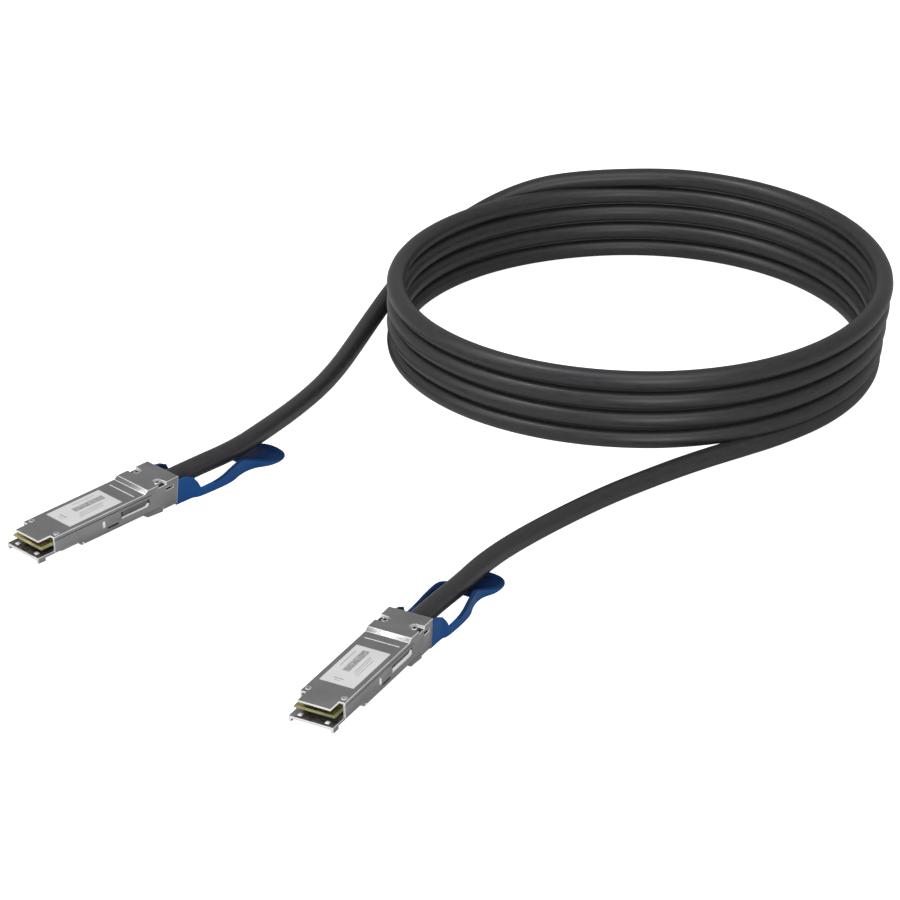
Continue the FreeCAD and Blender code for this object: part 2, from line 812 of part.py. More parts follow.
def rounded_path(points):
    """Straight runs joined by tangent arcs as large as their runs allow."""
    corners = [FreeCAD.Vector(*point) for point in points]
    edges = []
    radii = []
    start = corners[0]
    for before, corner, after in zip(corners, corners[1:], corners[2:]):
        back = (before - corner).normalize()
        ahead = (after - corner).normalize()
        half_turn = (math.pi - back.getAngle(ahead)) / 2
        shorter = min((before - corner).Length, (after - corner).Length)
        reach = 0.45 * shorter
        radii.append(reach / math.tan(half_turn))
        first = corner + back * reach
        last = corner + ahead * reach
        inward = (back + ahead).normalize()
        middle = corner + inward * radii[-1] * (1 / math.cos(half_turn) - 1)
        edges.append(Part.LineSegment(start, first).toShape())
        edges.append(Part.Arc(first, middle, last).toShape())
        start = last
    edges.append(Part.LineSegment(start, corners[-1]).toShape())
    return Part.Wire(edges), radii


def tail(name, points):
    """The cord's own solid along one tail."""
    path, radii = rounded_path(points)
    first, second = FreeCAD.Vector(*points[0]), FreeCAD.Vector(*points[1])
    section = Part.Circle(first, second - first, size("cord_diameter") / 2)
    tube = path.makePipeShell([Part.Wire([section.toShape()])], True, False)
    straight = math.pi * (size("cord_diameter") / 2) ** 2 * path.Length
    print(f"{name}: length {path.Length:.1f}, radii", [round(radius) for radius in radii])
    print(f"{name}: volume over section times length {tube.Volume / straight:.4f}")
    piece = doc.addObject("Part::Feature", name)
    piece.Shape = tube
    piece.Label = name
    return piece


def cable_coil():
    """The outer shape of the cord's coil: a ring as tall as the stacked turns."""
    half = f"{CORD_RADIUS} + coil_spare"
    outer = upright("coil_x", "coil_y", ("0", "coil_height"), f"coil_radius + {half}")
    inner = upright("coil_x", "coil_y", ("-1", "coil_height + 1"), f"coil_radius - {half}")
    ring = cut(outer, inner)
    ring.Label = "cable_coil"
    return ring


def cord_point(placement, beyond):
    """The point at the middle of the cord some way behind a plug, straight out of it."""
    behind = FreeCAD.Vector(0, value(PLUG_LENGTH) + beyond, value(CORD_MIDDLE))
    return placement.multVec(behind)


placements = {
    "a": plug_placement(size("plug_a_x"), size("plug_a_y"), size("plug_a_turn")),
    "b": plug_placement(size("plug_b_x"), size("plug_b_y"), 0),
}
nodes = []
for tag, placement in placements.items():
    for build in PLUG_PIECES:
        piece = build()
        piece.Label = f"{build.__name__}_{tag}"
        doc.recompute()
        piece.Placement = placement.multiply(piece.Placement)
        nodes.append(piece)

for tag, route in (("a", TAIL_A_ROUTE), ("b", TAIL_B_ROUTE)):
    start, lead = (tuple(cord_point(placements[tag], beyond)) for beyond in (0, LEAD))
    nodes.append(tail(f"tail_{tag}", [start, lead] + route))
nodes.append(cable_coil())
doc.recompute()

for piece in doc.Objects:
    if {"Invalid", "Error"} & set(piece.State):
        raise RuntimeError(f"{piece.Name} ({piece.Label}) is {piece.State}")
for piece in nodes:
    if piece.Shape.isNull() or not piece.Shape.isValid():
        raise RuntimeError(f"{piece.Label} has no valid shape")

os.makedirs("parts", exist_ok=True)
plugs = FreeCAD.BoundBox()
for piece in nodes:
    piece.Shape.exportStep(f"parts/{piece.Label}.step")
    bounds = piece.Shape.BoundBox
    if piece.Label[-2:] in ("_a", "_b") and not piece.Label.startswith("tail"):
        plugs.add(bounds)
    print(f"{piece.Label:24s} solids {len(piece.Shape.Solids):3d} volume {piece.Shape.Volume:10.2f}")
print("box round the plugs", plugs)
for tag, placement in placements.items():
    print(f"cord leaves plug {tag} at", cord_point(placement, 0))
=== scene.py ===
"""Direct attach copper cable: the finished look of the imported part."""

import math

import bmesh
import bpy
from mathutils import Matrix, Vector


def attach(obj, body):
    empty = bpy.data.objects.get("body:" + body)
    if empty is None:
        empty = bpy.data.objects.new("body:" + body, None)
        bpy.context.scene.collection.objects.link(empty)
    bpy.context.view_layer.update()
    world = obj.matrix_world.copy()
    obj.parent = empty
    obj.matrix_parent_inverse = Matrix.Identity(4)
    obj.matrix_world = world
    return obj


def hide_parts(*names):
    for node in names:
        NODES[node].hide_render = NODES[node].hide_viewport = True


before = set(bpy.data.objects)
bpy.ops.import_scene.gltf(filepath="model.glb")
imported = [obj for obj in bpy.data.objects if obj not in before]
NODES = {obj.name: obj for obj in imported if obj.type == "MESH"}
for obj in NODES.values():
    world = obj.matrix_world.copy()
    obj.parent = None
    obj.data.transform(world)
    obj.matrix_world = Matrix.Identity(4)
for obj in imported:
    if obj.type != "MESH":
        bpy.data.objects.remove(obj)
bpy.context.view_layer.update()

bl_info = {
    "name": "Direct Attach Cable",
    "version": (1, 0, 0),
    "blender": (4, 5, 0),
    "location": "View3D > Sidebar > Cable",
    "description": "Builds the finished plugs, pull tabs and coiled cord round the CAD frame",
    "category": "Object",
}

MM = 0.001


def millimetres(points):
    """Points given in millimetres, as vectors in metres."""
    return [Vector(point) * MM for point in points]


# Where each plug lies: the middle of its nose tip, its turn about Z and its tip nose down
PLUGS = {
    "a": {"nose": (-80.8, -34.8), "turn": -16.11},
    "b": {"nose": (79.7, -89.9), "turn": 0.0},
}
TIP = math.atan2(2.8, 61.6)


def plug_matrix(tag):
    """Turns a point of a plug's own frame, in metres, into the row's frame."""
    x, y = PLUGS[tag]["nose"]
    place = Matrix.Translation(Vector((x, y, -0.6 * math.cos(TIP))) * MM)
    turn = Matrix.Rotation(math.radians(PLUGS[tag]["turn"]), 4, "Z")
    return place @ turn @ Matrix.Rotation(TIP, 4, "X")


# Modelling


def select_only(piece):
    """Makes one piece the only selected one, and the active one."""
    bpy.ops.object.select_all(action="DESELECT")
    piece.select_set(True)
    bpy.context.view_layer.objects.active = piece


def start_editing(piece):
    """Opens a piece for editing with nothing of it selected."""
    select_only(piece)
    bpy.ops.object.mode_set(mode="EDIT")
    bpy.ops.mesh.select_all(action="DESELECT")


def stop_editing():
    """Closes the piece that is being edited."""
    bpy.ops.object.mode_set(mode="OBJECT")


def finish_shape():
    """Turns every face of the piece that is being edited outwards, and closes it."""
    bpy.ops.mesh.select_all(action="SELECT")
    bpy.ops.mesh.normals_make_consistent(inside=False)
    stop_editing()


def draw_out(offset=(0, 0, 0)):
    """Extrudes what is selected by an offset."""
    bpy.ops.mesh.extrude_region_move(TRANSFORM_OT_translate={"value": offset})


def join(pieces, name):
    """One piece of several, under a name."""
    bpy.ops.object.select_all(action="DESELECT")
    for piece in pieces:
        piece.select_set(True)
    bpy.context.view_layer.objects.active = pieces[0]
    bpy.ops.object.join()
    pieces[0].name = name
    return pieces[0]


def smooth(piece, degrees):
    """Shades a piece smooth but for the edges sharper than an angle."""
    select_only(piece)
    bpy.ops.object.shade_smooth_by_angle(angle=math.radians(degrees))


def paint(piece, *materials):
    """Gives a piece these materials in place of its own."""
    piece.data.materials.clear()
    for material in materials:
        piece.data.materials.append(material)


def trace(name, outline):
    """A flat face through the points of an outline, drawn by extruding one corner along it."""
    bpy.ops.object.select_all(action="DESELECT")
    bpy.ops.mesh.primitive_plane_add(size=MM, location=(0, 0, 0))
    piece = bpy.context.object
    piece.name = name
    bpy.ops.object.mode_set(mode="EDIT")
    bpy.ops.mesh.select_mode(type="VERT")
    bpy.ops.mesh.merge(type="CENTER")
    bpy.ops.transform.translate(value=outline[0])
    for here, there in zip(outline, outline[1:]):
        draw_out(there - here)
    bpy.ops.mesh.select_all(action="SELECT")
    bpy.ops.mesh.edge_face_add()
    return piece


def move_corners(piece, before, after):
    """Moves the selected face's corners from their old points to their new ones."""
    for old, new in zip(before, after):
        mesh = bmesh.from_edit_mesh(piece.data)
        mesh.verts.ensure_lookup_table()
        recent = mesh.verts[-len(before) :]
        corner = min(recent, key=lambda vertex: (vertex.co - old).length_squared)
        bpy.ops.mesh.select_all(action="DESELECT")
        corner.select = True
        bpy.ops.transform.translate(value=new - old)
    mesh = bmesh.from_edit_mesh(piece.data)
    mesh.verts.ensure_lookup_table()
    for corner in mesh.verts[-len(before) :]:
        corner.select = True
    mesh.select_flush(True)


def loft(name, sections):
    """A solid drawn out from section to section, each the same number of points."""
    piece = trace(name, sections[0])
    for before, after in zip(sections, sections[1:]):
        draw_out()
        move_corners(piece, before, after)
    finish_shape()
    return piece


def smooth_line(points, steps):
    """Points on a smooth line through the given ones."""
    line = []
    for index in range(len(points) - 1):
        ends = [points[min(max(index + k, 0), len(points) - 1)] for k in (-1, 0, 1, 2)]
        for step in range(steps):
            s = step / steps
            weights = (
                (-s + 2 * s**2 - s**3) / 2,
                (2 - 5 * s**2 + 3 * s**3) / 2,
                (s + 4 * s**2 - 3 * s**3) / 2,
                (-(s**2) + s**3) / 2,
            )
            line.append(
                tuple(sum(w * end[k] for w, end in zip(weights, ends)) for k in range(2))
            )
    return line + [tuple(points[-1])]


def height_at(line, station):
    """The height of a line of (station, height) points at a station."""
    for (start, low), (end, high) in zip(line, line[1:]):
        if start <= station <= end:
            share = (station - start) / max(end - start, 1e-9)
            return low + (high - low) * share
    return line[0][1] if station < line[0][0] else line[-1][1]


def apply_modifier(piece, kind, **settings):
    """Adds a modifier to a piece and applies it."""
    select_only(piece)
    modifier = piece.modifiers.new(kind.lower(), kind)
    for name, setting in settings.items():
        setattr(modifier, name, setting)
    bpy.ops.object.modifier_apply(modifier=modifier.name)


def settle(piece, tag, body):
    """Puts a piece that is drawn in a plug's own frame in its place, on its body."""
    piece.data.transform(plug_matrix(tag))
    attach(piece, body)


def copy_piece(piece, name):
    """A copy with a mesh of its own."""
    twin = piece.copy()
    twin.data = piece.data.copy()
    twin.name = name
    bpy.context.collection.objects.link(twin)
    return twin


def merged_copy(node, name):
    """A new piece from a CAD piece, its loose triangles joined and its flat areas made whole."""
    piece = bpy.data.objects.new(name, node.data.copy())
    bpy.context.collection.objects.link(piece)
    select_only(piece)
    bpy.ops.mesh.customdata_custom_splitnormals_clear()
    bpy.ops.object.mode_set(mode="EDIT")
    bpy.ops.mesh.select_all(action="SELECT")
    bpy.ops.mesh.remove_doubles(threshold=0.00001)
    bpy.ops.mesh.dissolve_limited(angle_limit=math.radians(1))
    stop_editing()
    return piece


# The castings' materials, by their places in the list of a casting's materials: plain metal,
# painted highlight, painted shade in slots, painted shade inside the mouth, painted shade in
# seams, and plain metal in the pockets. Edges beside the last two stay sharp.
CAST, PAINTED_HIGHLIGHT, SLOT_SHADE, LIP_SHADE, SEAM_SHADE, POCKET = range(6)
SHORTEST_EDGE = 0.7 * MM


def soften_edges(piece, width, face_paint):
    """Rounds the long sharp edges of a piece, in one of its materials, but for those beside its
    seams painted with shade and its pockets.
    """
    start_editing(piece)
    bpy.ops.mesh.select_mode(type="EDGE")
    mesh = bmesh.from_edit_mesh(piece.data)
    for edge in mesh.edges:
        sharp = len(edge.link_faces) == 2 and edge.calc_face_angle() > math.radians(35)
        keep_sharp = any(face.material_index >= SEAM_SHADE for face in edge.link_faces)
        edge.select = sharp and not keep_sharp and edge.calc_length() > SHORTEST_EDGE
    bpy.ops.transform.edge_bevelweight(value=1)
    stop_editing()
    apply_modifier(
        piece,
        "BEVEL",
        width=width,
        segments=2,
        limit_method="WEIGHT",
        material=face_paint,
        use_clamp_overlap=False,
    )
    smooth(piece, 40)


# Materials


def new_material(name):
    """A material with an empty node tree but for its Principled shader, and that shader."""
    material = bpy.data.materials.new(name)
    material.use_nodes = True
    return material, material.node_tree.nodes["Principled BSDF"]


def add_node(material, kind, inputs=None, **settings):
    """A node with its settings and its unlinked inputs filled in."""
    node = material.node_tree.nodes.new(kind)
    for name, setting in settings.items():
        setattr(node, name, setting)
    for name, amount in (inputs or {}).items():
        node.inputs[name].default_value = amount
    return node


def link(material, source, target):
    """Joins an output socket to an input socket."""
    material.node_tree.links.new(source, target)


def noise(material, scale, detail=3.0, stretch=(1, 1, 1), turn=0.0):
    """Noise on Object coordinates, in features per metre, drawn out along an axis if asked."""
    coordinates = add_node(material, "ShaderNodeTexCoord")
    mapping = add_node(material, "ShaderNodeMapping")
    mapping.inputs["Scale"].default_value = stretch
    mapping.inputs["Rotation"].default_value = (0, 0, turn)
    texture = add_node(material, "ShaderNodeTexNoise", {"Scale": scale, "Detail": detail})
    link(material, coordinates.outputs["Object"], mapping.inputs["Vector"])
    link(material, mapping.outputs["Vector"], texture.inputs["Vector"])
    return texture.outputs["Fac"]


def ramp(material, source, low, high, start=0.3, end=0.7):
    """Maps a 0 to 1 pattern onto two values or two colours."""
    node = add_node(material, "ShaderNodeValToRGB")
    link(material, source, node.inputs["Fac"])
    for stop, place, shade in zip(node.color_ramp.elements, (start, end), (low, high)):
        stop.position = place
        stop.color = (shade, shade, shade, 1) if isinstance(shade, float) else (*shade, 1)
    return node.outputs["Color"]


def bump(material, shader, source, distance, strength=1.0):
    """Raises a pattern on the surface by a distance in metres."""
    node = add_node(material, "ShaderNodeBump", {"Distance": distance, "Strength": strength})
    link(material, source, node.inputs["Height"])
    link(material, node.outputs["Normal"], shader.inputs["Normal"])


def surface(name, colours, rough, metallic=0.0, patches=90.0, grain=2500.0, **more):
    """A finish whose colour and roughness vary in patches, with a fine grain in relief."""
    material, shader = new_material(name)
    shader.inputs["Metallic"].default_value = metallic
    for socket, amount in more.items():
        shader.inputs[socket.replace("_", " ")].default_value = amount
    pattern = noise(material, patches)
    link(material, ramp(material, pattern, *colours), shader.inputs["Base Color"])
    link(material, ramp(material, noise(material, grain / 3), *rough), shader.inputs["Roughness"])
    bump(material, shader, noise(material, grain), 0.00002)
    return material


def linear(code):
    """A colour written as on screen, such as "7f7f80", in linear light."""
    parts = [int(code[i : i + 2], 16) / 255 for i in (0, 2, 4)]
    return tuple(p / 12.92 if p <= 0.04045 else ((p + 0.055) / 1.055) ** 2.4 for p in parts)


def tones(dark, light):
    """The two colours of a finish, each written as on screen."""
    return linear(dark), linear(light)


# Properties


class CordProperties(bpy.types.PropertyGroup):
    """Sizes of the cord."""

    diameter: bpy.props.FloatProperty(
        name="Diameter", description="Thickness of the jacket", default=0.0078, unit="LENGTH"
    )
    coil_radius: bpy.props.FloatProperty(
        name="Coil radius",
        description="From the coil's middle to the middle of a turn",
        default=0.1015,
        unit="LENGTH",
    )
    pitch: bpy.props.FloatProperty(
        name="Pitch",
        description="Height from one turn to the next at the front of the coil",
        default=0.0084,
        unit="LENGTH",
    )
    colour: bpy.props.FloatVectorProperty(
        name="Jacket colour",
        description="Colour of the jacket",
        default=linear("252527"),
        subtype="COLOR",
    )


class PlugProperties(bpy.types.PropertyGroup):
    """Sizes of the plugs' shells."""

    edge: bpy.props.FloatProperty(
        name="Edge",
        description="Width of the shells' rounded edges",
        default=0.00016,
        unit="LENGTH",
    )


class TabProperties(bpy.types.PropertyGroup):
    """Sizes and colour of the pull tabs."""

    wall: bpy.props.FloatProperty(
        name="Wall",
        description="Thickness of the tab's side plates",
        default=0.0015,
        unit="LENGTH",
    )
    colour: bpy.props.FloatVectorProperty(
        name="Tab colour",
        description="Colour of the moulded tab",
        default=linear("10457c"),
        subtype="COLOR",
    )


class StageProperties(bpy.types.PropertyGroup):
    """Light and camera."""

    lens: bpy.props.FloatProperty(
        name="Lens", description="Focal length in millimetres", default=158.947
    )
    floor_colour: bpy.props.FloatVectorProperty(
        name="Floor colour",
        description="Colour of the plain floor",
        default=(0.62, 0.62, 0.62),
        subtype="COLOR",
    )


# The cord

COIL_MIDDLE = Vector((38.8, 241.3)) * MM
COIL_TOP = 0.0374
# The middle of the cord on its way from each plug to the coil, in millimetres
TAIL_A = [
    (-50.8, 67.6, 8.1),
    (-50.9, 88.9, 7.2),
    (-52.9, 113.3, 5.0),
    (-55.3, 138.3, 3.9),
    (-59.0, 160.3, 3.9),
    (-64.4, 183.3, 4.4),
    (-69.2, 206.3, 6.2),
    (-72.6, 229.3, 9.6),
    (-72.4, 253.3, 15.5),
    (-67.0, 278.3, 23.5),
    (-54.0, 300.3, 31.0),
    (-36.4, 315.4, 35.6),
]
TAIL_B = [
    (80.0, 14.3, 7.1),
    (78.4, 36.3, 6.1),
    (78.9, 58.3, 4.5),
    (83.5, 84.3, 3.9),
    (90.9, 111.8, 3.9),
    (100.2, 136.8, 3.9),
    (109.0, 157.1, 3.9),
    (118.2, 174.8, 3.9),
]
# Where the cord leaves a plug, in the plug's own frame, and how far it runs on straight
PLUG_LENGTH = 70.4
CORD_MIDDLE = 4.15
LEAD = 14.0


def lead_out(tag):
    """The cord's points where it leaves a plug and at the end of its straight lead."""
    place = plug_matrix(tag)
    stations = (PLUG_LENGTH, PLUG_LENGTH + LEAD)
    return [place @ (Vector((0, y, CORD_MIDDLE)) * MM) for y in stations]


def ease(amount):
    """Goes from 0 to 1 with a soft start and end."""
    amount = min(max(amount, 0.0), 1.0)
    return amount * amount * (3 - 2 * amount)


def coil_turns(cord):
    """The coil's points, wound clockwise from the back at the top down to the floor."""
    # where the coil starts and ends, and where each turn starts to sink, in degrees
    first, last, back = 112, -1469, 119.5
    step = 15
    count = int((first - last) / step)
    # a spline of this order passes inside its points by this share of the radius
    radius = cord.coil_radius / (0.75 + 0.25 * math.cos(math.radians(step)))
    floor = cord.diameter / 2
    # how far a turn sinks in its first half, on the right; it sinks the rest on the left
    front_drop = 0.0022
    points = []
    for index in range(count + 1):
        angle = first + (last - first) * index / count
        turns = max((back - angle) / 360, 0.0)
        whole = math.floor(turns)
        part = turns - whole
        drop = front_drop * ease(part / 0.5) + (cord.pitch - front_drop) * ease(part / 0.5 - 1)
        height = max(floor, COIL_TOP - cord.pitch * whole - drop)
        # the turns lie further in on the right, the lower ones most
        right = max(math.cos(math.radians(angle - 29)), 0.0) ** 2
        depth = (COIL_TOP - height) / (COIL_TOP - floor)
        reach = radius - (0.0012 + 0.0042 * depth) * right
        x = COIL_MIDDLE.x + reach * math.cos(math.radians(angle))
        y = COIL_MIDDLE.y + reach * math.sin(math.radians(angle))
        points.append(Vector((x, y, height)))
    return points


def jacket_material(colour):
    """Dark grey jacket with fine streaks along it and a soft sheen."""
    material, shader = new_material("jacket")
    coordinates = add_node(material, "ShaderNodeTexCoord")
    mapping = add_node(material, "ShaderNodeMapping")
    mapping.inputs["Scale"].default_value = (30, 1, 1)
    streaks = add_node(material, "ShaderNodeTexNoise", {"Scale": 22.0, "Detail": 3.0})
    link(material, coordinates.outputs["UV"], mapping.inputs["Vector"])
    link(material, mapping.outputs["Vector"], streaks.inputs["Vector"])
    light = tuple(channel * 1.5 for channel in colour)
    pattern = streaks.outputs["Fac"]
    link(material, ramp(material, pattern, tuple(colour), light), shader.inputs["Base Color"])
    link(material, ramp(material, pattern, 0.34, 0.46), shader.inputs["Roughness"])
    shader.inputs["Specular IOR Level"].default_value = 0.45
    bump(material, shader, noise(material, 1800.0), 0.00003)
    return material


class CABLE_OT_cord(bpy.types.Operator):
    """Lays the cord from plug a round the coil to plug b"""

    bl_idname = "cable.cord"
    bl_label = "Cord"

    def execute(self, context):
        cord = context.scene.cable_cord
        lead_a, lead_b = lead_out("a"), lead_out("b")
        route = lead_a + millimetres(TAIL_A) + coil_turns(cord)
        route += millimetres(reversed(TAIL_B)) + lead_b[::-1]
        curve = bpy.data.curves.new("cord", "CURVE")
        curve.dimensions = "3D"
        curve.bevel_depth = cord.diameter / 2
        curve.bevel_resolution = 8
        curve.use_fill_caps = True
        curve.resolution_u = 10
        spline = curve.splines.new("NURBS")
        spline.points.add(len(route) - 1)
        for point, place in zip(spline.points, route):
            point.co = (*place, 1)
        spline.order_u = 3
        spline.use_endpoint_u = True
        spline.use_smooth = True
        piece = bpy.data.objects.new("cord", curve)
        context.collection.objects.link(piece)
        curve.materials.append(jacket_material(cord.colour))
        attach(piece, "root")
        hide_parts("tail_a", "tail_b", "cable_coil")
        return {"FINISHED"}


# The shells


def cast_metal():
    """Satin die-cast metal with a fine grain and faint cloudy patches."""
    return surface(
        "cast_metal",
        tones("8b8b8c", "979798"),
        (0.28, 0.38),
        metallic=0.8,
        grain=3000.0,
    )


def painted_highlight():
    """The same metal painted near white on its edges and some faces: painted highlight."""
    return surface(
        "painted_highlight",
        tones("e4e4e5", "f6f6f6"),
        (0.3, 0.4),
        metallic=0.35,
        grain=3000.0,
    )


# Where the mouth of a plug ends, along the plug
MOUTH_END = 9


def upper_face_paint(centre, normal):
    """Which of the castings' materials a face of the upper half has, by place and direction."""
    x, y, z = abs(centre.x), centre.y, centre.z
    # the mouth: painted highlight on its front and side faces, painted shade on the rest inside
    if y < MOUTH_END and (normal.y < -0.7 or abs(normal.x) > 0.7):
        return PAINTED_HIGHLIGHT
    if y < MOUTH_END and z < 8.4:
        return LIP_SHADE
    # the bump on each side wall, painted highlight
    if 31.8 < y < 33.2 and x > 9.2:
        return PAINTED_HIGHLIGHT
    # the slot in each side of the head
    if 63 < y < 68 and 6.1 < z < 7.4 and 7.5 < x < 9.1:
        return SLOT_SHADE
    # the slot behind the bump, and the groove along the side wall, painted shade
    if 34 < y < 39.7 and 1.6 < z < 2.35 and x < 9.1:
        return SEAM_SHADE
    if 6.95 < z < 7.35 and 9.0 < x < 9.15:
        return SEAM_SHADE
    # the recesses of the head's screws: painted highlight on their walls, painted shade on floors
    if 8.65 < z < 9.75 and 59.5 < y < 65 and x < 9.1:
        return PAINTED_HIGHLIGHT if abs(normal.z) < 0.3 else SLOT_SHADE
    # the side pockets, with painted highlight on their upward faces
    if 41 < y < 55.4 and 3 < z < 6.3 and 7.9 < x < 9.1:
        return PAINTED_HIGHLIGHT if normal.z > 0.5 else POCKET
    return CAST


def lower_face_paint(centre, normal):
    """The same for a face of the lower half."""
    # the mouth: painted highlight on its front faces and higher upward faces, painted shade lower
    if centre.y < MOUTH_END and normal.y < -0.7:
        return PAINTED_HIGHLIGHT
    if centre.y < MOUTH_END and normal.z > 0.7:
        return PAINTED_HIGHLIGHT if centre.z > 3.2 else LIP_SHADE
    # the top of the side flange under the head, painted shade as a dark line
    if 50 < centre.y < 63 and abs(centre.z) < 0.05 and normal.z > 0.7:
        return SEAM_SHADE
    return CAST


def painted_lip_shade():
    """The same metal painted dark and glossy between the card and the nose: painted shade."""
    return surface(
        "painted_lip_shade",
        tones("3b3733", "6e6a66"),
        (0.16, 0.26),
        metallic=0.6,
        patches=400.0,
        grain=3000.0,
    )


def slot_shade():
    """The dark inside of the slots."""
    return surface("slot_shade", tones("101011", "1c1c1d"), (0.6, 0.7), metallic=0.2)


class CABLE_OT_shells(bpy.types.Operator):
    """Makes both halves of each plug's shell, edges rounded, with painted highlight and shade"""

    bl_idname = "cable.shells"
    bl_label = "Shells"

    def execute(self, context):
        plug = context.scene.cable_plug
        shade = slot_shade()
        metal = cast_metal()
        metals = (metal, painted_highlight(), shade, painted_lip_shade(), shade, metal)
        for tag in PLUGS:
            back = plug_matrix(tag).inverted()
            for half, face_paint in (("upper", upper_face_paint), ("lower", lower_face_paint)):
                node = f"{half}_shell_{tag}"
                piece = merged_copy(NODES[node], f"{half}_casting_{tag}")
                paint(piece, *metals)
                for face in piece.data.polygons:
                    centre = back @ face.center / MM
                    face.material_index = face_paint(centre, back.to_3x3() @ face.normal)
                # the rounded edges get the painted highlight
                soften_edges(piece, plug.edge, PAINTED_HIGHLIGHT)
                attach(piece, "root")
                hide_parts(node)
        return {"FINISHED"}


# The small metal parts


def round_head(name, place, radius, height, hole, depth):
    """A round head with a worn edge and a round hole in its top, its bottom face at a place."""
    bpy.ops.object.select_all(action="DESELECT")
    middle = Vector(place) * MM + Vector((0, 0, height * MM / 2))
    bpy.ops.mesh.primitive_cylinder_add(
        vertices=40, radius=radius * MM, depth=height * MM, location=middle
    )
    piece = bpy.context.object
    piece.name = name
    bpy.ops.object.transform_apply(location=True)
    start_editing(piece)
    bpy.ops.mesh.select_mode(type="FACE")
    for face in bmesh.from_edit_mesh(piece.data).faces:
        face.select = face.normal.z > 0.9
    worn = 0.16 * radius
    crown = 0.7 * worn
    bpy.ops.mesh.inset(thickness=worn * MM, depth=crown * MM)
    bpy.ops.mesh.inset(thickness=(radius - worn - hole) * MM, depth=0)
    draw_out((0, 0, -(depth + crown) * MM))
    finish_shape()
    return piece


# The round heads of each plug: their CAD piece, the place of the one on the right, their sizes in
# millimetres and their slot
HEADS = {
    "rivet_heads": {
        "node": "front_rivets",
        "place": (7.36, 10.95, 8.6),
        "sizes": {"radius": 1.25, "height": 0.14, "hole": 0.66, "depth": 0.14},
        "slot": "steel",
    },
    "screw_heads": {
        "node": "head_screws",
        "place": (6.1, 62.2, 8.7),
        "sizes": {"radius": 1.4, "height": 0.62, "hole": 0.62, "depth": 0.5},
        "slot": "screw",
    },
}


def hole_faces(piece, place, sizes):
    """The faces inside the holes of a pair of round heads."""
    x, y, z = place
    middles = [Vector((side * x, y)) * MM for side in (1, -1)]
    rim = (z + sizes["height"] - 0.02) * MM
    return [
        face
        for face in piece.data.polygons
        if face.center.z < rim
        and min((face.center.xy - middle).length for middle in middles) < sizes["hole"] * 1.02 * MM
    ]


class CABLE_OT_fasteners(bpy.types.Operator):
    """Makes the rivets and the screws that show on top of each plug"""

    bl_idname = "cable.fasteners"
    bl_label = "Fasteners"

    def execute(self, context):
        rivet = surface("rivet_steel", tones("b0b0b2", "d2d2d4"), (0.25, 0.35), metallic=0.6)
        screw = surface(
            "screw_steel", tones("a4a4a6", "e6e6e8"), (0.2, 0.35), metallic=0.8, patches=900.0
        )
        shade = bpy.data.materials["slot_shade"]
        for name, head in HEADS.items():
            x, y, z = head["place"]
            for tag in PLUGS:
                pair = [round_head(name, (k * x, y, z), **head["sizes"]) for k in (1, -1)]
                piece = join(pair, f"{name}_{tag}")
                if name == "rivet_heads":
                    paint(piece, rivet)
                else:
                    paint(piece, screw, shade)
                    for face in hole_faces(piece, head["place"], head["sizes"]):
                        face.material_index = 1
                smooth(piece, 35)
                settle(piece, tag, "root")
                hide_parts(f"{head['node']}_{tag}")
        return {"FINISHED"}


# How far up the strip of painted highlight along each pocket's lower edge reaches
POCKET_HIGHLIGHTS = {"a": 0.35, "b": 1.1}


def pocket_highlight_strip(name, side, height):
    """A strip of painted highlight along a side pocket's lower edge, with a rounded rear end."""
    base = 3.2
    top = base + height
    outline = [
        (41.6, base),
        (54.4, base),
        (55.0, base + 0.25),
        (55.2, base + 0.8),
        (55.15, top + 0.5),
        (54.8, top + 0.85),
        (54.3, top + 0.85),
        (53.8, top + 0.4),
        (53.3, top),
        (41.6, top),
    ]
    piece = trace(name, millimetres((side * 8.6, y, z) for y, z in outline))
    draw_out((side * 0.4 * MM, 0, 0))
    finish_shape()
    return piece


class CABLE_OT_step_pins(bpy.types.Operator):
    """Makes the small pins at the step in each plug's lower edge"""

    bl_idname = "cable.step_pins"
    bl_label = "Step Pins"

    def execute(self, context):
        bright = surface("pin_steel", tones("e2e2e3", "f4f4f4"), (0.25, 0.35), metallic=0.4)
        for tag in PLUGS:
            pins = []
            for side in (1, -1):
                pin = round_head(
                    f"step_pins_{tag}", (0, 0, 0), radius=0.5, height=0.4, hole=0.2, depth=0.05
                )
                turn = Matrix.Rotation(side * math.pi / 2, 4, "Y")
                place = Matrix.Translation(Vector((side * 9.05, 21.9, 0.55)) * MM)
                pin.data.transform(place @ turn)
                pins.append(pin)
            piece = join(pins, f"step_pins_{tag}")
            paint(piece, bright)
            settle(piece, tag, "root")
        return {"FINISHED"}


class CABLE_OT_sliders(bpy.types.Operator):
    """Makes the release sliders' arms and the strips of painted highlight along their pockets"""

    bl_idname = "cable.sliders"
    bl_label = "Sliders"

    def execute(self, context):
        # the arms' steel, painted darker with the shade inside the pockets
        shaded_steel = surface("slider_painted_shade", tones("6a6a6b", "767677"), (0.32, 0.42), metallic=0.8)
        # the strips are painted near white: painted highlight
        bright = surface("painted_pocket_highlight", tones("ececed", "f8f8f8"), (0.28, 0.38), metallic=0.3)
        for tag in PLUGS:
            node = f"release_slider_{tag}"
            piece = merged_copy(NODES[node], f"slider_arms_{tag}")
            paint(piece, shaded_steel)
            soften_edges(piece, 0.08 * MM, 0)
            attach(piece, f"release_{tag}")
            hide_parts(node)
            name = f"pocket_highlights_{tag}"
            highlight_strips = join([pocket_highlight_strip(name, side, POCKET_HIGHLIGHTS[tag]) for side in (1, -1)], name)
            paint(highlight_strips, bright)
            apply_modifier(highlight_strips, "BEVEL", width=0.1 * MM, segments=2)
            settle(highlight_strips, tag, "root")
        return {"FINISHED"}


